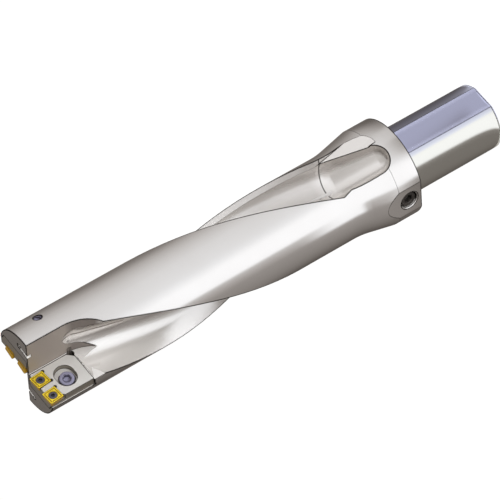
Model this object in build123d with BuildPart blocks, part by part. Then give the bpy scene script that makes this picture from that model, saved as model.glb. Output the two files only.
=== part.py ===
from build123d import *
import os
from math import asin, cos, degrees, radians, sin, sqrt, tan

# An indexable drill for large holes: a steel body with two helical flutes, a cylindrical
# shank with one flat, and two screwed cartridges that carry two square inserts each.
#
# Frame, in millimetres: Z is the drill's axis and points to the tip. The origin is on the
# axis in the plane of the flange's seat. The outer cartridge lies on -Y and cuts towards +X,
# and the inner one lies on +Y and cuts towards -X. The drill turns from +X towards +Y.
#
# Sizes at the tip are given from the tip: out is the distance from the axis along a
# cartridge, back is the distance behind the end face, and depth is measured below the
# cartridges' tops, which lie in the plane through the axis.

# Shank
shank_d = 50.0
shank_length = 80.0
shank_end_chamfer = 1.5
shank_flat_depth = 2.0
shank_flat_turn = 5.0

# Flange
flange_d = 74.5
flange_band = 19.0
flange_cone_angle = 11.7
flange_blend_r = 60.0

# Body
body_d = 63.5
body_length = 305.0

# Flutes: a round channel with a flaring trailing side and a heel cut on the leading side. The
# channel's floor is made of narrow flats whose edges lie on its circle.
# Turns are measured about the axis, back from a flute's leading edge.
flute_lead = 580.0
flute_r = 15.5
flute_offset = 23.1
flute_channel_turn = 33.5
flute_width_turn = 71.0
flute_heel_r = 27.2
flute_turn_at_tip = -7.7
flute_start = 34.0
flute_bottom = 56.0
flute_floor_flats = 8

# Run-out of each flute into the flange: the channel narrows, rises and ends in a ball
runout_length = 31.5
runout_rise = 14.2
runout_turn = 17.1
runout_end_r = 11.2
runout_heel_slope = 0.35
runout_trail_slope = 0.6

# Gullets: the flat floor and wall in front of each cartridge, ended by a round cutter path
gullet_floor = 0.4
outer_gullet_ledge = 0.7
inner_gullet_ledge = 0.0
gullet_straight = 28.5
gullet_end_r = 35.0

# Cartridges and the pockets they sit in
cartridge_length = 33.5
cartridge_thickness = 11.5
cartridge_rim_thickness = 6.0
cartridge_rim_in = 29.5
cartridge_step_in = 26.5
cartridge_outer = 30.6
cartridge_corner = 4.2
outer_cartridge_in = 3.5
inner_cartridge_in = -0.8
pocket_gap = 0.1
pocket_relief_r = 2.6
pocket_relief_in = 1.6
stress_hole_d = 2.0
stress_hole_depth = 7.0

# Inserts
insert_size = 10.6
insert_thickness = 3.97
insert_corner = 0.5
insert_flank_angle = 11.0
insert_turn = 5.0
insert_lead = 2.0
insert_proud = 0.6
insert_hole_d = 4.4
insert_sink_d = 6.4
insert_sink_angle = 60.0
insert_rim = 1.0
insert_groove_width = 1.0
insert_groove_depth = 0.3
insert_groove_slope = 30.0
insert_pocket_gap = 0.2
insert_relief_d = 2.2
insert_relief_in = 0.8
outer_drill_r = 32.2
outer_inserts_pitch = 15.2
inner_drill_r = -0.4
inner_inserts_pitch = 15.0

# Insert screws
insert_screw_d = 4.0
insert_screw_head_d = 6.0
insert_screw_recess = 0.25
insert_screw_grip = 3.2
star_r = 1.5
star_depth = 1.3

# Clamp screws, leaning so that they draw the cartridge inward and back
clamp_out = 19.4
clamp_back = 19.5
clamp_lean_in = 9.5
clamp_lean_back = 2.3
clamp_head_top = 1.3
clamp_head_d = 10.6
clamp_head_height = 4.2
clamp_hex = 5.0
clamp_hex_depth = 2.8
clamp_screw_d = 8.0
clamp_screw_length = 18.0
clamp_core_d = 5.8
clamp_clearance = 0.5
clamp_slot_margin = 1.3
clamp_slot_extra = 3.3
clamp_slot_depth = 3.4
thread_gap = 0.1
thread_end_gap = 0.2

# Coolant ways
port_d = 16.0
port_past_plug = 5.6
duct_d = 7.0
duct_fork = 100.0
outlet_d = 3.8
outlet_side = 7.0
outlet_high = 21.0
outlet_groove_side = -5.0
outlet_groove_high = 18.6
outlet_groove_width = 2.4
outlet_groove_depth = 3.0

# Side plug
plug_flat_r = 35.2
plug_turn = 83.0
plug_height = 10.4
plug_d = 13.0
plug_length = 9.0
plug_recess = 1.4
plug_mouth_chamfer = 0.8
plug_mouth_angle = 45.0
plug_hex = 6.0
plug_hex_depth = 4.0

# Values that follow
body_r = body_d / 2
shank_r = shank_d / 2
flange_r = flange_d / 2
flange_cone_length = (flange_r - body_r) / tan(radians(flange_cone_angle))
clear_of_part = flange_d
turn_per_mm = 360 / flute_lead
flute_end = body_length - flute_bottom
flute_height = flute_end - flute_start
port_depth = shank_length + plug_height + port_past_plug
over_floor = gullet_floor + insert_thickness
counterbore_r = clamp_head_d / 2 + clamp_clearance
clamp_shank_hole_r = clamp_screw_d / 2 + clamp_clearance
insert_half = insert_size / 2
insert_turned_width = insert_size * cos(radians(insert_turn))
insert_turned_in = insert_size * sin(radians(insert_turn))
insert_pocket_half = insert_half + insert_pocket_gap

sides = {"outer": -90.0, "inner": 90.0}
cartridge_insides = {"outer": outer_cartridge_in, "inner": inner_cartridge_in}
pocket_insides = {side: inside - pocket_gap for side, inside in cartridge_insides.items()}
gullet_walls = {
    "outer": pocket_insides["outer"] - outer_gullet_ledge,
    "inner": pocket_insides["inner"] - inner_gullet_ledge,
}
outer_far_edge = outer_drill_r - insert_turned_width
insert_edges = {
    ("outer", "near"): outer_far_edge - outer_inserts_pitch,
    ("outer", "far"): outer_far_edge,
    ("inner", "near"): inner_drill_r,
    ("inner", "far"): inner_drill_r + inner_inserts_pitch,
}


def tip_plane(side):
    """Plane of a cartridge's rake side: x runs out, y runs back, z points out of the metal."""
    out = Vector(1, 0, 0).rotate(Axis.Z, sides[side])
    rake = out.rotate(Axis.Z, 90)
    return Plane(origin=(0, 0, body_length), x_dir=out, z_dir=rake)


def flute_plane(side, back):
    """Plane across the axis, whose x runs along a flute's leading edge at that distance back."""
    rake_turn = sides[side] + 90
    turn = rake_turn - flute_turn_at_tip - back * turn_per_mm
    leading = Vector(1, 0, 0).rotate(Axis.Z, turn)
    return Plane(origin=(0, 0, body_length - back), x_dir=leading, z_dir=(0, 0, 1))


def rear_plane(side, gap):
    """Plane behind a cartridge: x runs out, y points out of the metal, z points to the tip."""
    plane = tip_plane(side)
    origin = plane.from_local_coords((0, cartridge_length + gap, 0))
    return Plane(origin=origin, x_dir=plane.x_dir, z_dir=-plane.y_dir)


def clamp_plane(side):
    """Plane on top of a clamp screw's head, whose z is the screw's axis."""
    plane = tip_plane(side)
    top = plane.from_local_coords((clamp_out, clamp_back, -clamp_head_top))
    lean_in = plane.x_dir * tan(radians(clamp_lean_in))
    lean_back = plane.y_dir * tan(radians(clamp_lean_back))
    return Plane(origin=top, x_dir=plane.y_dir, z_dir=plane.z_dir + lean_in - lean_back)


def insert_plane(side, inner_edge):
    """Plane on top of an insert, at its middle, turned as the insert is in its pocket."""
    corner = Vector(insert_half, insert_half).rotate(Axis.Z, insert_turn)
    middle = Vector(inner_edge, -insert_lead) + corner
    place_in_plane = Location((middle.X, middle.Y, insert_proud), (0, 0, insert_turn))
    return Plane(tip_plane(side).location * place_in_plane)


def plug_plane():
    """Plane on the flat of the side plug, whose z points out of the flange."""
    out = Vector(1, 0, 0).rotate(Axis.Z, -plug_turn)
    return Plane(origin=out * plug_flat_r + Vector(0, 0, plug_height), x_dir=(0, 0, 1), z_dir=out)


def profile_plane(plane):
    """Plane through the z axis of another: its x is a radius and its y runs along that axis."""
    return Plane(origin=plane.origin, x_dir=plane.x_dir, z_dir=-plane.y_dir)


def turning_axis(plane):
    """The z axis of a plane, to turn a profile about."""
    return Axis(plane.origin, plane.z_dir)


def polar(r, turn):
    """Point of a flute's section, by radius and by turn from the leading edge."""
    return Vector(r * cos(radians(turn)), -r * sin(radians(turn)))


# Section of a flute. The heel cut and the trailing side both run on past the body's skin.
channel = polar(flute_offset, flute_channel_turn)
channel_floor = polar(flute_offset - flute_r, flute_channel_turn)
heel_edge = polar(body_r, 0)
heel_drop = sqrt(flute_r**2 - (flute_heel_r - channel.X) ** 2)
heel_root = Vector(flute_heel_r, channel.Y + heel_drop)
heel_far = heel_edge + (heel_edge - heel_root).normalized() * body_r
trail_edge = polar(body_r, flute_width_turn)
trail_reach = (trail_edge - channel).length
trail_tangent = sqrt(trail_reach**2 - flute_r**2)
trail_half_turn = Vector(flute_r, trail_tangent).get_angle(Vector(1, 0))
trail_root = channel + (trail_edge - channel).normalized().rotate(Axis.Z, -trail_half_turn) * flute_r
trail_far = trail_edge + (trail_edge - trail_root).normalized() * body_r
middle_far = polar(flange_d, flute_channel_turn)
lips = [
    (runout_heel_slope, (heel_root, heel_far, middle_far, channel, heel_root)),
    (runout_trail_slope, (trail_root, trail_far, middle_far, channel, trail_root)),
]


def flute_face(plane):
    """Whole section of a flute."""
    with BuildSketch(plane) as section:
        with BuildLine():
            floor = ThreePointArc(heel_root, channel_floor, trail_root, mode=Mode.PRIVATE)
            Polyline(*[floor @ (flat / flute_floor_flats) for flat in range(flute_floor_flats + 1)])
            Polyline(trail_root, trail_far, middle_far, heel_far, heel_root)
        make_face()
    return section.sketch.face()


def cartridge_section(side, gap, outer, top):
    """Section of a cartridge, or of its pocket with the pocket's gap, outer end and top."""
    inside = cartridge_insides[side] - gap
    with BuildSketch(rear_plane(side, gap)) as section:
        with BuildLine():
            Polyline(
                (inside, top),
                (inside, -cartridge_thickness),
                (cartridge_step_in, -cartridge_thickness),
                (cartridge_rim_in, -cartridge_rim_thickness),
                (outer, -cartridge_rim_thickness),
                (outer, top),
                (inside, top),
            )
        make_face()
    return section.sketch.face()


def insert_pocket(side, inner_edge, inward):
    """Outline of an insert's pocket, open to the front and reaching inward by a given length."""
    with BuildSketch(insert_plane(side, inner_edge)) as outline:
        with BuildLine():
            Polyline(
                (-insert_pocket_half - inward, -insert_size),
                (insert_pocket_half, -insert_size),
                (insert_pocket_half, insert_pocket_half),
                (-insert_pocket_half - inward, insert_pocket_half),
                (-insert_pocket_half - inward, -insert_size),
            )
        make_face()
    return outline.sketch.face()


def crosses_inside(side, inner_edge):
    """Whether an insert's inner rear corner stands out of its cartridge's inner side."""
    return inner_edge - insert_turned_in - insert_pocket_gap < cartridge_insides[side]


def finish(part, name):
    """Label a finished piece and write it."""
    part.label = name
    export_step(part, "parts/" + name + ".step")


os.makedirs("parts", exist_ok=True)

# Steel body, turned, then fluted, then milled at the tip
with BuildPart() as drill_body:
    with BuildSketch(Plane.XZ):
        with BuildLine():
            Polyline(
                (0, -shank_length),
                (shank_r, -shank_length),
                (shank_r, 0),
                (flange_r, 0),
                (flange_r, flange_band),
            )
            FilletPolyline(
                (flange_r, flange_band),
                (body_r, flange_band + flange_cone_length),
                (body_r, body_length),
                radius=flange_blend_r,
            )
            Polyline((body_r, body_length), (0, body_length), (0, -shank_length))
        make_face()
    revolve(axis=Axis.Z)

    # Flat along the shank
    flat_normal = Vector(1, 0, 0).rotate(Axis.Z, -shank_flat_turn)
    flat_origin = flat_normal * (shank_r - shank_flat_depth)
    with BuildSketch(Plane(origin=flat_origin, x_dir=(0, 0, -1), z_dir=flat_normal)):
        Rectangle(shank_length, shank_d, align=(Align.MIN, Align.CENTER))
    extrude(amount=shank_flat_depth, mode=Mode.SUBTRACT)
    chamfer(drill_body.faces().sort_by(Axis.Z)[0].edges(), shank_end_chamfer)

    # Helical flutes, each started by a ball-shaped end at the tip
    for side in sides:
        twisted = Solid.extrude_linear_with_rotation(
            flute_face(flute_plane(side, flute_end)),
            (0, 0, flute_bottom),
            (0, 0, flute_height),
            flute_height * turn_per_mm,
        )
        add(twisted, mode=Mode.SUBTRACT)
        with Locations(flute_plane(side, flute_start).from_local_coords(channel)):
            Sphere(flute_r, mode=Mode.SUBTRACT)

    # Run-outs: a tapered ball-ended path for the channel, and the lips beside it
    for side in sides:
        end_plane = flute_plane(side, flute_end)
        risen = polar(flute_offset + runout_rise, flute_channel_turn + runout_turn)
        ball_middle = end_plane.from_local_coords((risen.X, risen.Y, -runout_length))
        path_start = end_plane.from_local_coords(channel)
        path = ball_middle - path_start
        path_plane = Plane(origin=path_start, z_dir=path)
        lean = asin((flute_r - runout_end_r) / path.length)
        with BuildSketch(profile_plane(path_plane)):
            with BuildLine():
                near_ball = CenterArc((0, 0), flute_r, -90, 90 + degrees(lean))
                far_ball = CenterArc((0, path.length), runout_end_r, degrees(lean), 90 - degrees(lean))
                Line(near_ball @ 1, far_ball @ 0)
                Line(far_ball @ 1, near_ball @ 0)
            make_face()
        revolve(axis=turning_axis(path_plane), mode=Mode.SUBTRACT)
        for slope, outline in lips:
            outward = polar(slope, flute_channel_turn)
            lip_path = end_plane.from_local_coords((outward.X, outward.Y, -1)) - end_plane.origin
            with BuildSketch(end_plane):
                with BuildLine():
                    Polyline(*outline)
                make_face()
            extrude(amount=clear_of_part, dir=lip_path, mode=Mode.SUBTRACT)

    # Gullets
    for side in sides:
        wall = gullet_walls[side]
        with BuildSketch(tip_plane(side).offset(gullet_floor)):
            with BuildLine():
                Line((wall, -clear_of_part), (wall, gullet_straight))
                CenterArc((wall + gullet_end_r, gullet_straight), gullet_end_r, 90, 90)
                Polyline(
                    (wall + gullet_end_r, gullet_straight + gullet_end_r),
                    (wall + gullet_end_r, -clear_of_part),
                    (wall, -clear_of_part),
                )
            make_face()
        extrude(amount=body_d, mode=Mode.SUBTRACT)

    # Cartridge pockets, with a round relief in the corner and a stress hole at the edge
    for side in sides:
        plane = tip_plane(side)
        extrude(
            cartridge_section(side, pocket_gap, body_d, over_floor),
            amount=cartridge_length + clear_of_part,
            mode=Mode.SUBTRACT,
        )
        relief_out = pocket_insides[side] + pocket_relief_in
        relief_back = cartridge_length + pocket_gap - pocket_relief_in
        with BuildSketch(plane.offset(-cartridge_thickness)):
            with Locations((relief_out, relief_back)):
                Circle(pocket_relief_r)
        extrude(amount=cartridge_thickness + over_floor, mode=Mode.SUBTRACT)
        edge_origin = plane.from_local_coords((body_r, cartridge_length, -cartridge_rim_thickness))
        with BuildSketch(Plane(origin=edge_origin, x_dir=plane.y_dir, z_dir=plane.x_dir)):
            Circle(stress_hole_d / 2)
        extrude(amount=-stress_hole_depth, mode=Mode.SUBTRACT)

    # Notch in the web where an insert reaches in past its cartridge
    for (side, place), inner_edge in insert_edges.items():
        if crosses_inside(side, inner_edge):
            outline = insert_pocket(side, inner_edge, 0)
            extrude(outline, amount=-insert_thickness, mode=Mode.SUBTRACT)
            extrude(outline, amount=over_floor, mode=Mode.SUBTRACT)

    # Threaded ways of the clamp screws, bored on through the far side of the body
    for side in sides:
        seat_depth = clamp_head_height + clamp_screw_length + thread_end_gap
        with BuildSketch(clamp_plane(side)):
            Circle(clamp_screw_d / 2 + thread_gap)
        extrude(amount=-seat_depth, mode=Mode.SUBTRACT)
        with BuildSketch(clamp_plane(side).offset(-seat_depth)):
            Circle(clamp_core_d / 2)
        extrude(amount=-body_r, mode=Mode.SUBTRACT)

    # Coolant port, main duct and the two branches that come out beside the gullets
    with BuildSketch(Plane.XY.offset(-shank_length)):
        Circle(port_d / 2)
    extrude(amount=port_depth, mode=Mode.SUBTRACT)
    with BuildSketch(Plane.XY.offset(port_depth - shank_length)):
        Circle(duct_d / 2)
    extrude(amount=shank_length + body_length - duct_fork - port_depth, mode=Mode.SUBTRACT)
    fork = Vector(0, 0, body_length - duct_fork)
    for side in sides:
        plane = tip_plane(side)
        outlet = plane.from_local_coords((-outlet_side, 0, outlet_high))
        groove_end = plane.from_local_coords((-outlet_groove_side, 0, outlet_groove_high))
        way = outlet - fork
        with BuildSketch(Plane(origin=fork, z_dir=way)):
            Circle(outlet_d / 2)
        extrude(amount=way.length + outlet_d, mode=Mode.SUBTRACT)
        with BuildSketch(Plane.XY.offset(body_length)):
            SlotCenterPoint(
                ((outlet + groove_end).X / 2, (outlet + groove_end).Y / 2),
                (groove_end.X, groove_end.Y),
                outlet_groove_width,
            )
        extrude(amount=-outlet_groove_depth, mode=Mode.SUBTRACT)

    # Flat and cross hole of the side plug
    with BuildSketch(plug_plane()):
        with Locations((-plug_height, 0)):
            Rectangle(flange_band + flange_cone_length, flange_d, align=(Align.MIN, Align.CENTER))
    extrude(amount=flange_r, mode=Mode.SUBTRACT)
    plug_hole_r = plug_d / 2 + thread_gap
    with BuildSketch(plug_plane()):
        Circle(plug_hole_r)
    extrude(amount=-plug_flat_r, mode=Mode.SUBTRACT)
    with BuildSketch(plug_plane()):
        Circle(plug_hole_r + plug_mouth_chamfer)
    extrude(amount=-plug_mouth_chamfer, taper=plug_mouth_angle, mode=Mode.SUBTRACT)
drill_body.part.label = "drill_body"
export_step(drill_body.part, "parts/drill_body.step")

# Cartridges, each with two insert pockets and a slot and leaning hole for its clamp screw
for side in sides:
    with BuildPart() as cartridge:
        extrude(cartridge_section(side, 0, cartridge_outer, 0), amount=cartridge_length)
        plane = tip_plane(side)
        corner_x = cartridge_insides[side]
        with BuildSketch(plane):
            Polygon(
                (corner_x, cartridge_length),
                (corner_x, cartridge_length - cartridge_corner),
                (corner_x + cartridge_corner, cartridge_length),
                align=None,
            )
        extrude(amount=-cartridge_thickness, mode=Mode.SUBTRACT)

        for (insert_side, place), inner_edge in insert_edges.items():
            if insert_side == side:
                top = insert_plane(side, inner_edge)
                inward = insert_size if crosses_inside(side, inner_edge) else 0
                extrude(
                    insert_pocket(side, inner_edge, inward),
                    amount=-insert_thickness,
                    taper=insert_flank_angle,
                    mode=Mode.SUBTRACT,
                )
                relief = insert_pocket_half - insert_relief_in
                with BuildSketch(top):
                    with Locations((-relief, insert_pocket_half), (relief, insert_pocket_half)):
                        Circle(insert_relief_d / 2)
                extrude(amount=-insert_thickness, mode=Mode.SUBTRACT)
                with BuildSketch(top.offset(-insert_thickness)):
                    Circle(insert_screw_d / 2 + thread_gap)
                extrude(amount=-insert_screw_grip - thread_end_gap, mode=Mode.SUBTRACT)

        slot_start = Vector(clamp_out - clamp_slot_extra, clamp_back)
        slot_end = Vector(clamp_out, clamp_back)
        with BuildSketch(plane):
            SlotCenterPoint(
                (slot_start + slot_end) / 2,
                slot_end,
                2 * (counterbore_r + clamp_slot_margin),
            )
        extrude(amount=-clamp_slot_depth, mode=Mode.SUBTRACT)
        with BuildSketch(clamp_plane(side).offset(clamp_head_top)):
            Circle(counterbore_r)
        extrude(amount=-clamp_head_top - clamp_head_height, mode=Mode.SUBTRACT)
        with BuildSketch(clamp_plane(side)):
            Circle(clamp_shank_hole_r)
        extrude(amount=-body_r, mode=Mode.SUBTRACT)
    finish(cartridge.part, side + "_cartridge")

# Clamp screws with a hexagon socket
for side in sides:
    top = clamp_plane(side)
    head_r = clamp_head_d / 2
    shank_end = -clamp_head_height - clamp_screw_length
    with BuildPart() as clamp_screw:
        with BuildSketch(profile_plane(top)):
            with BuildLine():
                Polyline(
                    (0, 0),
                    (head_r, 0),
                    (head_r, -clamp_head_height),
                    (clamp_screw_d / 2, -clamp_head_height),
                    (clamp_screw_d / 2, shank_end),
                    (0, shank_end),
                    (0, 0),
                )
            make_face()
        revolve(axis=turning_axis(top))
        with BuildSketch(top):
            RegularPolygon(clamp_hex / 2, 6, major_radius=False)
        extrude(amount=-clamp_hex_depth, mode=Mode.SUBTRACT)
    finish(clamp_screw.part, side + "_clamp_screw")

# Inserts: square with nipped corners, leaning flanks, a sloped chip groove and a countersunk hole
for (side, place), inner_edge in insert_edges.items():
    top = insert_plane(side, inner_edge)
    groove_outer = insert_size - 2 * insert_rim
    groove_inner = groove_outer - 2 * insert_groove_width
    with BuildPart() as insert:
        with BuildSketch(top) as outline:
            Rectangle(insert_size, insert_size)
            chamfer(outline.vertices(), insert_corner)
        extrude(amount=-insert_thickness, taper=insert_flank_angle)
        with BuildSketch(top):
            Rectangle(groove_outer, groove_outer)
        extrude(amount=-insert_groove_depth, taper=insert_groove_slope, mode=Mode.SUBTRACT)
        with BuildSketch(top.offset(-insert_groove_depth)):
            Rectangle(groove_inner, groove_inner)
        extrude(amount=insert_groove_depth, taper=insert_groove_slope)
        with Locations(top):
            CounterSinkHole(
                insert_hole_d / 2,
                insert_sink_d / 2,
                insert_thickness,
                counter_sink_angle=insert_sink_angle,
            )
    finish(insert.part, side + "_" + place + "_insert")

# Insert screws: a conical head that fits the countersink, with a six-pointed recess
for (side, place), inner_edge in insert_edges.items():
    top = insert_plane(side, inner_edge).offset(-insert_screw_recess)
    head_r = insert_screw_head_d / 2
    shaft_r = insert_screw_d / 2
    head_height = (head_r - shaft_r) / tan(radians(insert_sink_angle / 2))
    shaft_end = insert_screw_recess - insert_thickness - insert_screw_grip
    with BuildPart() as insert_screw:
        with BuildSketch(profile_plane(top)):
            with BuildLine():
                Polyline(
                    (0, 0),
                    (head_r, 0),
                    (shaft_r, -head_height),
                    (shaft_r, shaft_end),
                    (0, shaft_end),
                    (0, 0),
                )
            make_face()
        revolve(axis=turning_axis(top))
        with BuildSketch(top):
            RegularPolygon(star_r, 3)
            RegularPolygon(star_r, 3, rotation=180)
        extrude(amount=-star_depth, mode=Mode.SUBTRACT)
    finish(insert_screw.part, side + "_" + place + "_insert_screw")

# Plug of the cross hole, with a hexagon socket
plug_top = plug_plane().offset(-plug_recess)
with BuildPart() as coolant_plug:
    with BuildSketch(profile_plane(plug_top)):
        with BuildLine():
            Polyline(
                (0, 0),
                (plug_d / 2, 0),
                (plug_d / 2, -plug_length),
                (0, -plug_length),
                (0, 0),
            )
        make_face()
    revolve(axis=turning_axis(plug_top))
    with BuildSketch(plug_top):
        RegularPolygon(plug_hex / 2, 6, major_radius=False)
    extrude(amount=-plug_hex_depth, mode=Mode.SUBTRACT)
coolant_plug.part.label = "coolant_plug"
export_step(coolant_plug.part, "parts/coolant_plug.step")
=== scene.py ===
from math import atan2, cos, pi, radians, sin, tan

import bmesh
import bpy
from mathutils import Matrix, Vector


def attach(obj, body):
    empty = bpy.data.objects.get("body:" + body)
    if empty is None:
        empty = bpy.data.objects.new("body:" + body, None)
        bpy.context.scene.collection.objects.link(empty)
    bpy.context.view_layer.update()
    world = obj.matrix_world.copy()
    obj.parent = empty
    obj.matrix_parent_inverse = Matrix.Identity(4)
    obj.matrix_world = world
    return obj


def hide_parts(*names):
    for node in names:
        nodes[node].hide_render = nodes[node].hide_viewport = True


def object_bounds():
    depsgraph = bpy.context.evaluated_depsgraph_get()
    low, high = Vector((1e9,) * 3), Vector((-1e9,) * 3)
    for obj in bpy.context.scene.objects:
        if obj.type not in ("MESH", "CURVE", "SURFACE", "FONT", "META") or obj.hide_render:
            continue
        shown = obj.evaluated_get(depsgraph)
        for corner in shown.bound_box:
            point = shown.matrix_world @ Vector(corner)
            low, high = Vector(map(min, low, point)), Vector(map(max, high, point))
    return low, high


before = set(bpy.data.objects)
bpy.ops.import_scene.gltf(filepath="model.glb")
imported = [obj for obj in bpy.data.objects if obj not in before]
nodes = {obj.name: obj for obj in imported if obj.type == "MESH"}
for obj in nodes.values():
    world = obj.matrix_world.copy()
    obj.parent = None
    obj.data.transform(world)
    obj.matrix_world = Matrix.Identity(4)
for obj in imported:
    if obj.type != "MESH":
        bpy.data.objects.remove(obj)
cad_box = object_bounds()

# The scene is in metres, in the frame of the model: +Z runs from the shank to the tip, and the
# origin is the centre of the flange's rear face. Sizes are written in millimetres, times MM.
MM = 0.001
FLOOR_Z = cad_box[0].z

# Camera, at the photograph's viewing angle
EYE = Vector((1.63135, -1.03796, 0.86617))
VIEW_RIGHT = Vector((0.0, -0.5828, -0.8126))
VIEW_UP = Vector((0.6153, 0.6406, -0.4594))
VIEW_BACK = Vector((0.7883, -0.5000, 0.3586))
SENSOR = 36.0
LENS = 216.9

# Body of the drill, in millimetres and degrees
BODY_LENGTH = 305.0
FLUTE_R = 15.5
FLUTE_OFFSET = 23.1
FLUTE_LEAD = 580.0
CHANNEL_TURN_AT_TIP = 7.7 - 33.5
FLUTE_ENDS = (56.0, 271.0)
FLAT_TURN = -5.0
FLAT_NORMAL = Vector((cos(radians(FLAT_TURN)), sin(radians(FLAT_TURN)), 0.0))

# Coolant groove on the tip's face, as (x, y) of its two ends on the side of +X
GROOVE_OUTLET = (21.0, 7.0)
GROOVE_FAR_END = (18.6, -5.0)

# Turn about the axis of the side on which each cartridge lies
SIDES = {"outer": -90.0, "inner": 90.0}

# Inserts. Out is the distance from the axis along a cartridge.
INSERT_SIZE = 10.6
INSERT_THICKNESS = 3.97
INSERT_CORNER = 0.8
INSERT_LEAD = 2.0
INSERT_PROUD = 0.6
INSERT_TURN = 5.0
INSERT_SCREW_RECESS = 0.25
OUTER_DRILL_R = 32.2
OUTER_INSERTS_PITCH = 15.2
INNER_DRILL_R = -0.4
INNER_INSERTS_PITCH = 15.0
OUTER_FAR_EDGE = OUTER_DRILL_R - INSERT_SIZE * cos(radians(INSERT_TURN))
INSERT_EDGES = {
    ("outer", "near"): OUTER_FAR_EDGE - OUTER_INSERTS_PITCH,
    ("outer", "far"): OUTER_FAR_EDGE,
    ("inner", "near"): INNER_DRILL_R,
    ("inner", "far"): INNER_DRILL_R + INNER_INSERTS_PITCH,
}

# Clamp screws, which lean in and back
CLAMP_OUT = 19.4
CLAMP_BACK = 19.5
CLAMP_DEPTH = 1.3
CLAMP_LEAN_IN = 9.5
CLAMP_LEAN_BACK = 2.3

# Plug in the flange's side
PLUG_TURN = -83.0
PLUG_FLAT_R = 35.2
PLUG_HEIGHT = 10.4
PLUG_RECESS = 1.4

# Colours, linear
NICKEL = (0.80, 0.778, 0.752)
NICKEL_DIM = (0.74, 0.71, 0.68)
# The flutes' colours are painted light and shade: dark over the rear of the flutes, lighter in the run-out
# and lighter still towards the tip, against the shade that falls in the hollows
FLUTE_FRONT_PAINTED_LIGHT = (0.92, 0.90, 0.875)
FLUTE_REAR_PAINTED_SHADE = (0.60, 0.575, 0.55)
FLUTE_RUN_OUT_PAINTED_LIGHT = (0.84, 0.815, 0.79)
# Steep sides of the flutes, which don't look along X, darker: painted shade
FLUTE_SIDE_PAINTED_SHADE = (0.68, 0.65, 0.62)
# Gullet walls at the tip, dark, and darker still where they curve round at their ends: painted shade
WALL_PAINTED_SHADE = (0.42, 0.37, 0.33)
WALL_END_PAINTED_SHADE = (0.24, 0.21, 0.19)
# Pale inside the coolant grooves on the tip's face: painted light in their depths
GROOVE_PAINTED_LIGHT = (0.93, 0.92, 0.90)
SHANK_STEEL = (0.72, 0.71, 0.66)
# Bluish steel on the shank wherever it doesn't look toward -Y, and a bluer, darker flat: painted reflection
SHANK_PAINTED_REFLECTION = (0.61, 0.635, 0.79)
FLAT_PAINTED_REFLECTION = (0.56, 0.585, 0.79)
BODY_TINT = (0.6, 0.58, 0.56)
LINE_DARK = (0.022, 0.018, 0.015)
# Cartridges' sides, darker than their tops: painted shade
CARTRIDGE_SIDE_SHADE = (0.26, 0.235, 0.195)
GOLD = (0.95, 0.72, 0.035)
OCHRE = (0.60, 0.38, 0.025)
# Flanks, chip groove and hole of the inserts, darker and oranger: painted shade
FLANK_SHADE = (0.62, 0.36, 0.025)
GOLD_LINE = (0.045, 0.028, 0.006)

# Gloss of the body: the share of dull light, and roughness
FLUTE_DULL = 0.4
WALL_DULL = 0.7
BODY_ROUGH = 0.17
FLUTE_ROUGHER = 0.05
TIP_ROUGHER = 0.28

# Span of the noise that counts, the grain's depth, and the turning marks' scale, which is finer
# along the axis than across it
CLOUDS = (0.35, 0.70)
GRAIN = (0.30, 0.70)
GRAIN_DEPTH = 0.01 * MM
TURNING_MARKS = (700.0, 700.0, 5200.0)

# Where one kind of surface, or some painted light, shade or reflection, gives way to another, from
# none of it to all of it. It goes by height in metres, or by how much a face looks across (along X),
# along (along Z), to the side (along Y), outward from the axis, or the way that the shank's flat looks.
SHANK_BELOW = (-0.1 * MM, -0.3 * MM)
TIP_ABOVE = (230.0 * MM, 232.0 * MM)
# Heights below which the run-out's painted light comes in, and above which the flutes' painted light towards
# the tip comes in
RUN_OUT_LIGHT_BELOW = (62.0 * MM, 50.0 * MM)
FRONT_FLUTE_LIGHT_ABOVE = (100.0 * MM, 165.0 * MM)
FLAT_FACING = (0.9990, 0.9998)
# Where the shank's painted blue reflection comes in, as a face turns away from -Y
REFLECTION_FACING = (-0.62, -0.50)
MILLED_OUTWARD = (0.965, 0.94)
MILLED_ALONG = (0.95, 0.85)
WALL_ACROSS = (0.05, 0.02)
WALL_ALONG = (0.7, 0.6)
# How much the gullets' walls look along the axis where their painted shade deepens
WALL_END_SHADE_ALONG = (0.05, 0.20)
FLOOR_ACROSS = (0.995, 0.999)
STEEP_ACROSS = (0.55, 0.30)
# How much a cartridge's face looks along X where its painted shade gives way
SHADED_SIDE_ACROSS = (0.90, 0.97)

# Dark lines along the edges: their width, and the agreement of the rounded normal with the face's
# own at which a line starts and is full
LINE_WIDTH = 1.3 * MM
STEEL_LINE = (0.9985, 0.975)
SKIN_LINE = (0.9992, 0.993)
CUT_LINE = (0.994, 0.965)
INSERT_LINE = (0.996, 0.94)

# Thin line across each run-out, on a cone about the axis, and how far from it the dark ends and is full
RUN_OUT_HEIGHT = 57.0 * MM
RUN_OUT_SLOPE = 0.175
RUN_OUT_LINE = (0.55 * MM, 0.40 * MM)
RUN_OUT_DARKNESS = 0.8

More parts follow.
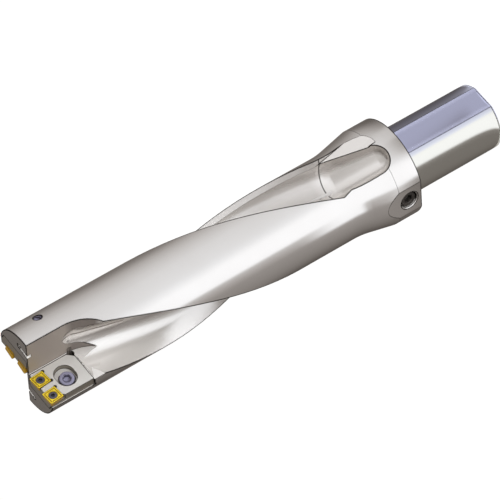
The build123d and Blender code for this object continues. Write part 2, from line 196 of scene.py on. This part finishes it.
# Brightness of the light tent by direction round the object, in degrees: at its foot, at its foot
# close to the shank, low down, low down with a wider bright side, and high up
TENT_BASE = (
    (-180, 0.20), (-128, 0.24), (-88, 0.24), (-76, 0.30), (-71, 1.30), (-44, 1.30), (-38, 1.20),
    (-20, 0.50), (-8, 0.34), (6, 0.36), (15, 0.66), (37, 0.66), (48, 0.36), (72, 0.22), (92, 0.19),
    (150, 0.40), (180, 0.20))
TENT_NEAR = tuple((at, 0.66 if -10 < at < 10 else glow) for at, glow in TENT_BASE)
TENT_LOW = (
    (-180, 0.17), (-140, 0.28), (-100, 0.36), (-78, 0.62), (-74, 1.25), (-42, 1.25), (-30, 1.05),
    (-18, 0.94), (18, 0.86), (42, 0.72), (66, 0.55), (90, 0.35), (110, 0.30), (145, 0.50), (180, 0.17))
TENT_WIDE = ((-180, 0.17), (-140, 0.28), (-101, 0.40), (-96, 1.25), *TENT_LOW[4:])
TENT_HIGH = (
    (-180, 0.17), (-138, 0.21), (-102, 0.33), (-66, 0.55), (-42, 1.00), (-30, 1.00), (-18, 0.93),
    (18, 0.86), (54, 0.69), (78, 0.50), (110, 0.34), (148, 0.20), (180, 0.17))

# The tent's rings, as radius and height above the floor in millimetres, each with its brightness
TENT_RINGS = (
    (28, 0.1, TENT_NEAR), (50, 0.2, TENT_NEAR), (72, 0.4, TENT_BASE), (130, 34.9, TENT_BASE),
    (145, 43.8, TENT_LOW), (175, 61.6, TENT_WIDE), (205, 79.5, TENT_WIDE), (230, 94.3, TENT_LOW),
    (400, 195.0, TENT_LOW), (420, 225.0, TENT_HIGH), (600, 580.0, TENT_HIGH))
TENT_STEP = 2
WARM = (1.0, 0.90, 0.83)
COOL = (0.99, 1.01, 1.05)


class Graph:
    """Nodes of one tree, written as plain sums."""

    def put(self, socket, value):
        """Links a socket to another node's output, or sets a plain number or colour on it."""
        if isinstance(value, bpy.types.NodeSocket):
            self.tree.links.new(value, socket)
        elif isinstance(value, tuple) and socket.type == "RGBA" and len(value) == 3:
            socket.default_value = (*value, 1.0)
        else:
            socket.default_value = value

    def node(self, kind, *inputs):
        """A new node of a kind, with its first inputs set."""
        node = self.tree.nodes.new(kind)
        for socket, value in zip(node.inputs, inputs):
            self.put(socket, value)
        return node

    def math(self, operation, first, second=0.0):
        node = self.node("ShaderNodeMath", first, second)
        node.operation = operation
        return node.outputs[0]

    def product(self, first, *others):
        for other in others:
            first = self.math("MULTIPLY", first, other)
        return first

    def rest(self, value):
        """One minus a value."""
        return self.math("SUBTRACT", 1.0, value)

    def off(self, value, middle):
        """How far a value is from a middle, either way."""
        return self.math("ABSOLUTE", self.math("SUBTRACT", value, middle))

    def vector_math(self, operation, first, second=(0.0, 0.0, 0.0)):
        node = self.node("ShaderNodeVectorMath", first, second)
        node.operation = operation
        return node.outputs["Value" if operation in ("DOT_PRODUCT", "LENGTH") else "Vector"]

    def scaled(self, vector, factor):
        node = self.node("ShaderNodeVectorMath", vector)
        node.operation = "SCALE"
        self.put(node.inputs["Scale"], factor)
        return node.outputs["Vector"]

    def apart(self, vector):
        return self.node("ShaderNodeSeparateXYZ", vector).outputs

    def together(self, x, y, z):
        return self.node("ShaderNodeCombineXYZ", x, y, z).outputs[0]


class Surface(Graph):
    """A node material with nothing on its output yet."""

    def __init__(self, name):
        self.material = bpy.data.materials.new(name)
        self.material.use_nodes = True
        self.tree = self.material.node_tree
        self.tree.nodes.clear()
        self.output = self.node("ShaderNodeOutputMaterial").inputs["Surface"]

    def shader(self, kind, *inputs):
        return self.node("ShaderNode" + kind, *inputs).outputs[0]

    def attribute(self, name):
        node = self.node("ShaderNodeAttribute")
        node.attribute_name = name
        return node.outputs["Fac"]

    def mix(self, factor, first, second):
        node = self.node("ShaderNodeMix")
        node.data_type = "RGBA"
        self.put(node.inputs[0], factor)
        self.put(node.inputs[6], first)
        self.put(node.inputs[7], second)
        return node.outputs[2]


class Metal(Surface):
    """A metal that is built step by step."""

    def __init__(self, name):
        super().__init__(name)
        self.principled = self.node("ShaderNodeBsdfPrincipled")
        self.put(self.output, self.principled.outputs["BSDF"])

    def coordinates(self, kind="Object"):
        return self.node("ShaderNodeTexCoord").outputs[kind]

    def noise(self, scale, detail=3.0, vector=None, roughness=0.5):
        node = self.node("ShaderNodeTexNoise", vector or self.coordinates())
        node.inputs["Scale"].default_value = scale
        node.inputs["Detail"].default_value = detail
        node.inputs["Roughness"].default_value = roughness
        return node.outputs["Fac"]

    def ramp(self, value, from_low, from_high, to_low=0.0, to_high=1.0):
        return self.node("ShaderNodeMapRange", value, from_low, from_high, to_low, to_high).outputs[0]

    def edge_line(self, width, start, full):
        """One along the edges of the form, where the rounded normal leaves the face's own normal."""
        bevel = self.node("ShaderNodeBevel")
        bevel.samples = 12
        bevel.inputs["Radius"].default_value = width
        own = self.node("ShaderNodeNewGeometry").outputs["Normal"]
        agreement = self.vector_math("DOT_PRODUCT", bevel.outputs["Normal"], own)
        return self.ramp(agreement, start, full)

    def bump(self, height, strength):
        node = self.node("ShaderNodeBump")
        node.inputs["Strength"].default_value = strength
        node.inputs["Distance"].default_value = GRAIN_DEPTH
        self.put(node.inputs["Height"], height)
        self.put(self.principled.inputs["Normal"], node.outputs[0])

    def set(self, **values):
        for name, value in values.items():
            self.put(self.principled.inputs[name.replace("_", " ")], value)


def steel(name, colour, dim, metallic, rough, line_width, grain_scale, tint, side=None):
    """Satin steel: cloudy colour, fine grain in its gloss and relief, and darker edges."""
    s = Metal(name)
    clouds = s.noise(60.0, 4.0)
    shade = s.mix(s.ramp(clouds, *CLOUDS, 0.0, 0.8), colour, dim)
    # Faces that don't look along X, such as a cartridge's sides, take the darker side colour: painted shade
    if side:
        across = s.math("ABSOLUTE", s.apart(s.coordinates("Normal"))[0])
        shade = s.mix(s.ramp(across, *SHADED_SIDE_ACROSS), side, shade)
    s.set(Base_Color=s.mix(s.edge_line(line_width * MM, *STEEL_LINE), shade, LINE_DARK))
    grain = s.noise(grain_scale, 3.0, None, 0.6)
    s.set(Roughness=s.ramp(grain, *GRAIN, rough - 0.02, rough + 0.03))
    s.bump(grain, 0.03)
    s.set(Metallic=metallic, Specular_Tint=tint)
    return s.material


class BodySurfaces:
    """Masks of the kinds of surface on the body, and of a painted reflection on the shank, from 0 to 1."""

    def __init__(self, s, x, y, height):
        normal = s.coordinates("Normal")
        normal_x, normal_y, normal_z = s.apart(normal)
        across = s.math("ABSOLUTE", normal_x)
        self.along = s.math("ABSOLUTE", normal_z)
        outward = s.vector_math("NORMALIZE", s.together(x, y, 0.0))
        near_tip = s.ramp(height, *TIP_ABOVE)
        self.shank = s.ramp(height, *SHANK_BELOW)
        # Painted reflection: a blue tint on the shank wherever it doesn't look toward -Y
        self.shank_reflection = s.ramp(normal_y, *REFLECTION_FACING)
        facing_flat = s.ramp(s.vector_math("DOT_PRODUCT", normal, FLAT_NORMAL), *FLAT_FACING)
        self.shank_flat = s.product(facing_flat, self.shank)
        not_skin = s.ramp(s.vector_math("DOT_PRODUCT", normal, outward), *MILLED_OUTWARD)
        self.milled = s.product(not_skin, s.ramp(self.along, *MILLED_ALONG))
        upright = s.product(s.ramp(across, *WALL_ACROSS), s.ramp(self.along, *WALL_ALONG))
        self.gullet_wall = s.product(upright, near_tip)
        self.gullet_floor = s.product(s.ramp(across, *FLOOR_ACROSS), near_tip, self.milled)
        self.steep = s.ramp(across, *STEEP_ACROSS)


def outlet_grooves(s, x, y, height):
    """One inside the two grooves that lead the coolant across the tip's face."""
    half_width, half_length, half_depth, middle_depth = (size * MM for size in (1.3, 7.4, 1.5, 1.6))
    (outlet_x, outlet_y), (end_x, end_y) = GROOVE_OUTLET, GROOVE_FAR_END
    turn = atan2(outlet_x - end_x, outlet_y - end_y)
    middle_x, middle_y = (outlet_x + end_x) / 2 * MM, (outlet_y + end_y) / 2 * MM
    aside = s.math("SUBTRACT", s.math("MULTIPLY", x, cos(turn)), s.math("MULTIPLY", y, sin(turn)))
    along = s.math("ADD", s.math("MULTIPLY", x, sin(turn)), s.math("MULTIPLY", y, cos(turn)))
    along = s.product(along, s.math("SIGN", x))
    from_line = s.off(s.math("ABSOLUTE", aside), middle_x * cos(turn) - middle_y * sin(turn))
    from_middle = s.off(along, middle_x * sin(turn) + middle_y * cos(turn))
    from_level = s.off(height, BODY_LENGTH * MM - middle_depth)
    return s.product(
        s.ramp(from_line, half_width + 0.10 * MM, half_width),
        s.ramp(from_middle, half_length + 0.10 * MM, half_length),
        s.ramp(from_level, half_depth + 0.05 * MM, half_depth))


def run_out_line(s, x, y, height):
    """Dark along the thin line across each run-out."""
    reach = s.vector_math("LENGTH", s.together(x, y, 0.0))
    level = s.math("ADD", height, s.math("MULTIPLY", reach, RUN_OUT_SLOPE))
    return s.ramp(s.off(level, RUN_OUT_HEIGHT), *RUN_OUT_LINE, 0.0, RUN_OUT_DARKNESS)


def body_material():
    """Nickel-plated body: turned skin, milled flutes and gullets, ground shank and its flat."""
    s = Metal("body_steel")
    place = s.coordinates()
    x, y, height = s.apart(place)
    at = BodySurfaces(s, x, y, height)
    groove = outlet_grooves(s, x, y, height)

    nickel = s.mix(s.ramp(s.noise(22.0, 4.0), *CLOUDS, 0.0, 0.5), NICKEL, NICKEL_DIM)
    # Painted light and shade in the flutes by height: dark at the rear, lighter in the run-out and towards
    # the tip
    flute_painted = s.mix(s.ramp(height, *RUN_OUT_LIGHT_BELOW), FLUTE_REAR_PAINTED_SHADE, FLUTE_RUN_OUT_PAINTED_LIGHT)
    flute_painted = s.mix(s.ramp(height, *FRONT_FLUTE_LIGHT_ABOVE), flute_painted, FLUTE_FRONT_PAINTED_LIGHT)
    # The flutes' steep sides take painted shade
    flute_painted = s.mix(at.steep, flute_painted, FLUTE_SIDE_PAINTED_SHADE)
    # Painted shade on the gullets' walls, darkest where they curve round
    wall_shade = s.mix(s.ramp(at.along, *WALL_END_SHADE_ALONG), WALL_PAINTED_SHADE, WALL_END_PAINTED_SHADE)
    nickel = s.mix(at.gullet_wall, s.mix(at.milled, nickel, flute_painted), wall_shade)
    # Painted reflection on the shank: a blue tint away from -Y, and a bluer, darker flat
    ground = s.mix(at.shank_flat, s.mix(at.shank_reflection, SHANK_STEEL, SHANK_PAINTED_REFLECTION), FLAT_PAINTED_REFLECTION)
    # The coolant grooves are painted pale: painted light in their depths
    colour = s.mix(groove, s.mix(at.shank, nickel, ground), GROOVE_PAINTED_LIGHT)

    skin_line = s.product(s.edge_line(LINE_WIDTH, *SKIN_LINE), s.rest(at.milled))
    cut_line = s.product(s.edge_line(LINE_WIDTH, *CUT_LINE), at.milled)
    with_lines = s.rest(s.math("MAXIMUM", at.gullet_floor, groove))
    line = s.product(s.math("ADD", skin_line, cut_line), with_lines)
    line = s.math("MAXIMUM", line, s.product(run_out_line(s, x, y, height), at.milled))
    s.set(Base_Color=s.mix(line, colour, LINE_DARK), Specular_Tint=BODY_TINT)

    flute_dull = s.product(at.milled, s.rest(at.steep), FLUTE_DULL)
    dull = s.math("MAXIMUM", flute_dull, s.math("MULTIPLY", at.gullet_wall, WALL_DULL))
    s.set(Metallic=s.rest(s.math("MAXIMUM", dull, groove)))

    turned = s.noise(1.0, 3.0, s.vector_math("MULTIPLY", place, TURNING_MARKS), 0.6)
    rough = s.ramp(turned, *GRAIN, BODY_ROUGH - 0.01, BODY_ROUGH + 0.015)
    rough = s.math("ADD", rough, s.math("MULTIPLY", at.milled, FLUTE_ROUGHER))
    tip_rougher = s.product(s.math("ADD", at.gullet_wall, at.gullet_floor), TIP_ROUGHER)
    s.set(Roughness=s.math("ADD", rough, tip_rougher))
    s.bump(turned, 0.008)
    return s.material


def gold_material():
    """Titanium nitride coating on pressed and ground carbide."""
    s = Metal("insert_coating")
    top = s.mix(s.ramp(s.noise(260.0, 3.0), *GRAIN, 0.0, 0.25), GOLD, OCHRE)
    # Painted shade on the flanks, at the honed edge, in the chip groove and down the hole
    colour = s.mix(s.attribute("painted_shade"), top, FLANK_SHADE)
    s.set(Base_Color=s.mix(s.edge_line(0.46 * MM, *INSERT_LINE), colour, GOLD_LINE), Metallic=0.35)
    grain = s.noise(9000.0, 2.0)
    s.set(Roughness=s.ramp(grain, *GRAIN, 0.30, 0.42))
    s.bump(grain, 0.10)
    return s.material


STEELS = {
    "cartridge_steel": dict(
        colour=(0.70, 0.69, 0.665), dim=(0.64, 0.625, 0.60), metallic=0.4, rough=0.34,
        line_width=0.60, grain_scale=2500.0, tint=(0.75, 0.72, 0.70), side=CARTRIDGE_SIDE_SHADE),
    "clamp_screw_steel": dict(
        colour=(0.30, 0.29, 0.40), dim=(0.26, 0.25, 0.34), metallic=0.5, rough=0.32,
        line_width=0.50, grain_scale=4000.0, tint=(0.7, 0.7, 0.75)),
    "insert_screw_steel": dict(
        colour=(0.13, 0.125, 0.16), dim=(0.10, 0.10, 0.12), metallic=0.6, rough=0.30,
        line_width=0.42, grain_scale=5000.0, tint=(0.7, 0.7, 0.75)),
    "plug_steel": dict(
        colour=(0.10, 0.088, 0.080), dim=(0.035, 0.032, 0.030), metallic=0.5, rough=0.34,
        line_width=0.45, grain_scale=3000.0, tint=(0.7, 0.68, 0.66)),
}
MATERIALS = {name: steel(name, **finish) for name, finish in STEELS.items()}
MATERIALS["body_steel"] = body_material()
MATERIALS["insert_coating"] = gold_material()
for node in nodes.values():
    slot_names = [m.name.split(".")[0] for m in node.data.materials]
    for index, slot_name in enumerate(slot_names):
        node.data.materials[index] = MATERIALS[slot_name]


class Fields(Graph):
    """A geometry-nodes modifier that is built step by step."""

    def __init__(self, name):
        self.tree = bpy.data.node_groups.new(name, "GeometryNodeTree")
        self.tree.interface.new_socket("Geometry", in_out="INPUT", socket_type="NodeSocketGeometry")
        self.tree.interface.new_socket("Geometry", in_out="OUTPUT", socket_type="NodeSocketGeometry")
        self.geometry = self.node("NodeGroupInput").outputs[0]
        self.result = self.node("NodeGroupOutput").inputs[0]


def round_flute_floors(node):
    """Shades the narrow flats of the flutes' floors as the round channel that they stand for."""
    reach_slack = 0.25 * MM
    least_agreement = 0.93
    low, high = (FLUTE_ENDS[0] - 0.01) * MM, (FLUTE_ENDS[1] + 0.01) * MM
    f = Fields("round_flute_floors")
    rate = 2 * pi / (FLUTE_LEAD * MM)
    place = f.node("GeometryNodeInputPosition").outputs[0]
    own = f.node("GeometryNodeInputNormal").outputs["Normal"]
    x, y, z = f.apart(place)
    turned = f.math("MULTIPLY", f.math("SUBTRACT", z, BODY_LENGTH * MM), rate)
    turn = f.math("ADD", turned, radians(CHANNEL_TURN_AT_TIP))
    toward = f.together(f.math("COSINE", turn), f.math("SINE", turn), 0.0)
    side = f.math("SIGN", f.vector_math("DOT_PRODUCT", place, toward))
    centre = f.scaled(toward, f.math("MULTIPLY", side, FLUTE_OFFSET * MM))
    inward = f.vector_math("SUBTRACT", centre, f.together(x, y, 0.0))
    flat_x, flat_y, _ = f.apart(f.vector_math("NORMALIZE", inward))
    rise = f.math("SUBTRACT", f.math("MULTIPLY", flat_x, y), f.math("MULTIPLY", flat_y, x))
    rounded = f.vector_math("NORMALIZE", f.together(flat_x, flat_y, f.math("MULTIPLY", rise, rate)))
    chosen = f.product(
        f.math("LESS_THAN", f.off(f.vector_math("LENGTH", inward), FLUTE_R * MM), reach_slack),
        f.math("GREATER_THAN", f.vector_math("DOT_PRODUCT", rounded, own), least_agreement),
        f.math("GREATER_THAN", z, low),
        f.math("LESS_THAN", z, high))
    mix = f.node("ShaderNodeMix")
    mix.data_type = "VECTOR"
    f.put(mix.inputs[0], chosen)
    f.put(mix.inputs[4], own)
    f.put(mix.inputs[5], rounded)
    setter = f.node("GeometryNodeSetMeshNormal")
    setter.mode = "FREE"
    setter.domain = "CORNER"
    f.put(setter.inputs["Mesh"], f.geometry)
    f.put(setter.inputs["Custom Normal"], mix.outputs[1])
    f.put(f.result, setter.outputs[0])
    node.modifiers.new("round_flute_floors", "NODES").node_group = f.tree


round_flute_floors(nodes["drill_body"])


class Place:
    """A local frame in the model, with lengths in millimetres along its own x, y and z."""

    def __init__(self, origin, x_axis, z_axis):
        self.origin = Vector(origin)
        self.z = Vector(z_axis).normalized()
        self.y = self.z.cross(Vector(x_axis)).normalized()
        self.x = self.y.cross(self.z)

    def at(self, x, y, z):
        return self.origin + self.x * x + self.y * y + self.z * z


def tip_place(side):
    """On the axis at the tip: x runs out along a cartridge, y back, z out of its rake side."""
    turn = radians(SIDES[side])
    return Place((0, 0, BODY_LENGTH), (cos(turn), sin(turn), 0), (-sin(turn), cos(turn), 0))


def insert_place(side, inner_edge):
    """At the middle of an insert's top."""
    tip = tip_place(side)
    turn = radians(INSERT_TURN)
    half = INSERT_SIZE / 2
    out = inner_edge + half * (cos(turn) - sin(turn))
    back = -INSERT_LEAD + half * (cos(turn) + sin(turn))
    return Place(tip.at(out, back, INSERT_PROUD), tip.x * cos(turn) + tip.y * sin(turn), tip.z)


def clamp_place(side):
    """On top of a clamp screw's head, which leans."""
    tip = tip_place(side)
    lean = tip.z + tip.x * tan(radians(CLAMP_LEAN_IN)) - tip.y * tan(radians(CLAMP_LEAN_BACK))
    return Place(tip.at(CLAMP_OUT, CLAMP_BACK, -CLAMP_DEPTH), tip.y, lean)


def plug_place():
    """On the flange's flat, at the middle of the plug's hole."""
    out = Vector((cos(radians(PLUG_TURN)), sin(radians(PLUG_TURN)), 0.0))
    return Place(out * PLUG_FLAT_R + Vector((0, 0, PLUG_HEIGHT)), (0, 0, 1), out)


def skin(node_name, place, rings, closed, slot_name, painted_shades=None):
    """Piece made of rings of points, each joined to the next, that stands for a node."""
    count = len(rings[0])
    mesh = bpy.data.meshes.new(node_name + "_detailed")
    form = bmesh.new()
    verts = [[form.verts.new(place.at(*point) * MM) for point in ring] for ring in rings]
    loops = list(zip(verts, verts[1:]))
    if closed:
        loops.append((verts[-1], verts[0]))
    else:
        form.faces.new(verts[0])
        form.faces.new(verts[-1])
    for near, far in loops:
        for k in range(count):
            form.faces.new((near[k], near[(k + 1) % count], far[(k + 1) % count], far[k]))
    bmesh.ops.recalc_face_normals(form, faces=form.faces)
    for face in form.faces:
        face.smooth = True
    form.to_mesh(mesh)
    form.free()
    mesh.set_sharp_from_angle(angle=radians(28.0))
    mesh.materials.append(MATERIALS[slot_name])
    # Some pieces carry an amount of painted shade for each ring
    if painted_shades:
        painted_shade = mesh.attributes.new("painted_shade", "FLOAT", "POINT")
        painted_shade.data.foreach_set("value", [value for value in painted_shades for _ in range(count)])
    piece = bpy.data.objects.new(node_name + "_detailed", mesh)
    bpy.context.scene.collection.objects.link(piece)
    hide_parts(node_name)
    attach(piece, "root")


def square_ring(half, corner, z, steps=6):
    """Square with round corners, from the middle of the +x side, with 12 times steps points."""
    points = []
    for quarter in range(4):
        turn = quarter * pi / 2
        side = [(half, (half - corner) * k / steps) for k in range(steps)]
        bend = [radians(90 * k / steps) for k in range(steps)]
        arc = [(half - corner + corner * cos(a), half - corner + corner * sin(a)) for a in bend]
        back = [((half - corner) * (1 - k / steps), half) for k in range(steps)]
        for x, y in side + arc + back:
            points.append((x * cos(turn) - y * sin(turn), x * sin(turn) + y * cos(turn), z))
    return points


# Turns of a ring's points: as those of an insert's outline lie, and evenly spread
OUTLINE = [atan2(y, x) for x, y, _ in square_ring(INSERT_SIZE / 2, INSERT_CORNER, 0.0)]
EVEN = [2 * pi * k / len(OUTLINE) for k in range(len(OUTLINE))]


def ring(radius, z, turns=EVEN):
    return [(radius * cos(a), radius * sin(a), z) for a in turns]


def shaped(reach, z):
    """Ring whose radius follows the turn."""
    return [(reach(a) * cos(a), reach(a) * sin(a), z) for a in EVEN]


def thread(crest, root, pitch, top, bottom):
    """Rings of a right-hand screw thread from top to bottom, faded at both ends."""
    steps = int((top - bottom) / (pitch / 6))
    rings = []
    for k in range(steps + 1):
        z = top + (bottom - top) * k / steps
        fade = min(1.0, (top - z) / pitch, (z - bottom) / pitch + 0.25)
        points = []
        for a in EVEN:
            phase = (z / pitch - a / (2 * pi)) % 1.0
            height = 1 - abs(2 * phase - 1)
            r = root + (crest - root) * min(1.0, 1.25 * height) * fade
            points.append((r * cos(a), r * sin(a), z))
        rings.append(points)
    return rings


def make_insert(side, which, inner_edge):
    """Ground insert with a honed edge, a flat rim, a chip groove and a countersunk hole."""
    rings = [
        square_ring(4.53, 0.62, -INSERT_THICKNESS),
        square_ring(5.26, 0.79, -0.10),
        square_ring(5.29, 0.80, -0.03),
        square_ring(5.27, 0.79, 0.0),
        square_ring(4.40, 0.55, 0.0),
        square_ring(4.20, 0.50, -0.26),
        square_ring(3.98, 0.45, -0.30),
        square_ring(3.70, 0.40, -0.02),
        ring(3.24, -0.02, OUTLINE),
        ring(3.18, -0.08, OUTLINE),
        ring(2.22, -1.72, OUTLINE),
        ring(2.20, -1.80, OUTLINE),
        ring(2.20, -INSERT_THICKNESS, OUTLINE),
    ]
    # How much painted shade, the darker flank colour, each ring has: on the flanks, at the honed edge, in
    # the chip groove and down the hole
    painted_shades = [1.0, 1.0, 0.6, 0.0, 0.0, 0.75, 0.75, 0.0, 0.0, 0.5, 1.0, 1.0, 1.0]
    name = side + "_" + which + "_insert"
    skin(name, insert_place(side, inner_edge), rings, True, "insert_coating", painted_shades)


def star(scale):
    """Radius of a six-lobed star by turn."""
    return lambda a: scale * (1.20 + 0.26 * cos(6 * a))


def make_insert_screw(side, which, inner_edge):
    """Countersunk screw with a six-lobed recess and a fine thread."""
    top = -INSERT_SCREW_RECESS
    rings = [
        ring(0.08, top - 1.75),
        shaped(star(0.90), top - 1.30),
        shaped(star(0.97), top - 0.14),
        shaped(star(1.07), top - 0.02),
        ring(1.75, top),
        ring(2.72, top),
        ring(2.93, top - 0.10),
        ring(2.96, top - 0.18),
        ring(2.02, top - 1.70),
        ring(1.80, top - 2.05),
        *thread(2.05, 1.66, 0.7, top - 2.1, -7.0),
        ring(1.45, -7.12),
    ]
    name = side + "_" + which + "_insert_screw"
    skin(name, insert_place(side, inner_edge), rings, False, "insert_screw_steel")


def hexagon(across, corner=0.985):
    """Radius of a hexagon by turn, with its corners a little rounded."""
    def reach(a):
        off = (a + pi / 6) % (pi / 3) - pi / 6
        return min(across / 2 / cos(off), corner * across / 2 / cos(pi / 6))
    return reach


def make_clamp_screw(side):
    """Socket head screw with a chamfered head and its thread."""
    rings = [
        ring(0.10, -3.9),
        shaped(hexagon(4.7), -2.80),
        shaped(hexagon(5.0), -2.75),
        shaped(hexagon(5.0), -0.35),
        ring(3.10, 0.0),
        ring(4.85, 0.0),
        ring(5.12, -0.10),
        ring(5.28, -0.42),
        ring(5.28, -3.90),
        ring(5.10, -4.18),
        ring(3.98, -4.20),
        ring(3.90, -5.60),
        *thread(4.06, 3.35, 1.25, -5.7, -21.6),
        ring(3.0, -22.1),
    ]
    skin(side + "_clamp_screw", clamp_place(side), rings, False, "clamp_screw_steel")


def make_plug():
    """Hexagon-socket plug with a chamfered rim and its thread."""
    top = -PLUG_RECESS
    rings = [
        ring(0.15, top - 5.2),
        shaped(hexagon(5.7), top - 4.0),
        shaped(hexagon(6.0), top - 3.9),
        shaped(hexagon(6.0), top - 0.45),
        ring(3.75, top),
        ring(5.55, top),
        ring(5.80, top - 0.15),
        ring(6.10, top - 0.75),
        *thread(6.50, 5.95, 1.5, top - 0.8, top - 8.5),
        ring(5.6, top - 8.95),
    ]
    skin("coolant_plug", plug_place(), rings, False, "plug_steel")


for (side, which), inner_edge in INSERT_EDGES.items():
    make_insert(side, which, inner_edge)
    make_insert_screw(side, which, inner_edge)
for side in SIDES:
    make_clamp_screw(side)
make_plug()


def make_floor():
    """Plain pale floor, which shows white to the eye and in reflections and keeps the shadow."""
    half = 6.0
    mesh = bpy.data.meshes.new("floor")
    corners = [(-half, -half, 0), (half, -half, 0), (half, half, 0), (-half, half, 0)]
    mesh.from_pydata(corners, [], [(0, 1, 2, 3)])
    floor = bpy.data.objects.new("floor", mesh)
    floor.location.z = FLOOR_Z - 0.2 * MM
    bpy.context.scene.collection.objects.link(floor)
    s = Surface("pale_floor")
    rays = s.node("ShaderNodeLightPath").outputs
    sight = s.math("ADD", rays["Is Camera Ray"], rays["Is Glossy Ray"])
    sight = s.math("ADD", sight, rays["Is Transmission Ray"])
    plain = s.shader("BsdfDiffuse", (0.8, 0.8, 0.8))
    shadowed = s.shader("BsdfDiffuse", (0.5, 0.5, 0.5))
    white = s.shader("Emission", (1.0, 1.0, 1.0), 0.88)
    s.put(s.output, s.shader("MixShader", sight, plain, s.shader("AddShader", shadowed, white)))
    mesh.materials.append(s.material)


def brightness_at(azimuth, table):
    """Brightness in a direction, by straight lines between a table's knots."""
    for (near, low), (far, high) in zip(table, table[1:]):
        if near <= azimuth <= far:
            return low + (high - low) * (azimuth - near) / (far - near)


def make_tent():
    """White cloth tent round the object, lit unevenly, which only the metal's gloss sees."""
    azimuths = range(-180, 180 + TENT_STEP, TENT_STEP)
    count = len(azimuths)
    points = [
        (radius * MM * cos(radians(a)), radius * MM * sin(radians(a)), FLOOR_Z + height * MM)
        for radius, height, _ in TENT_RINGS
        for a in azimuths
    ]
    faces = [
        (start + k, start + k + 1, start + count + k + 1, start + count + k)
        for start in range(0, (len(TENT_RINGS) - 1) * count, count)
        for k in range(count - 1)
    ]
    mesh = bpy.data.meshes.new("light_tent")
    mesh.from_pydata(points, [], faces)
    glow = mesh.attributes.new("glow", "FLOAT", "POINT")
    glow.data.foreach_set("value", [brightness_at(a, table) for _, _, table in TENT_RINGS for a in azimuths])
    tent = bpy.data.objects.new("light_tent", mesh)
    bpy.context.scene.collection.objects.link(tent)
    tent.visible_camera = False
    tent.visible_diffuse = False
    tent.visible_shadow = False
    s = Surface("light_tent")
    brightness = s.attribute("glow")
    s.put(s.output, s.shader("Emission", s.mix(brightness, WARM, COOL), brightness))
    mesh.materials.append(s.material)


def make_world():
    """Even studio air, a warm mid grey."""
    world = bpy.data.worlds.new("studio")
    world.use_nodes = True
    background = world.node_tree.nodes["Background"]
    background.inputs["Color"].default_value = (1.0, 0.95, 0.91, 1.0)
    background.inputs["Strength"].default_value = 0.30
    bpy.context.scene.world = world


def softbox(name, place, aim, size, watts):
    """Soft lamp at a place, turned to a point, seen neither by the camera nor in reflections."""
    light = bpy.data.lights.new(name, "AREA")
    light.shape = "RECTANGLE"
    light.size, light.size_y = size
    light.energy = watts
    lamp = bpy.data.objects.new(name, light)
    lamp.location = place
    lamp.rotation_euler = (Vector(aim) - Vector(place)).to_track_quat("-Z", "Y").to_euler()
    lamp.visible_camera = False
    lamp.visible_glossy = False
    bpy.context.scene.collection.objects.link(lamp)


def make_lamps():
    """Lamps for the dull share of the metal, with places and sizes in metres."""
    body_middle = (0.0, 0.0, 0.15)
    tip = (0.0, 0.0, 0.30)
    softbox("key", (0.66, -0.24, 0.0), body_middle, (0.45, 0.12), 2.6)
    softbox("top", (0.15, -0.12, 0.62), tip, (0.25, 0.25), 0.55)
    softbox("fill", (1.0, -0.10, 0.35), body_middle, (0.8, 0.8), 2.0)


def make_camera():
    camera = bpy.data.cameras.new("camera")
    camera.sensor_width = SENSOR
    camera.lens = LENS
    camera.clip_start = 0.05
    camera.clip_end = 60.0
    holder = bpy.data.objects.new("camera", camera)
    turn = Matrix((VIEW_RIGHT, VIEW_UP, VIEW_BACK)).transposed()
    holder.matrix_world = Matrix.Translation(EYE) @ turn.to_4x4()
    bpy.context.scene.collection.objects.link(holder)
    bpy.context.scene.camera = holder


make_floor()
make_tent()
make_world()
make_lamps()
make_camera()
bpy.context.scene.view_settings.view_transform = "Standard"
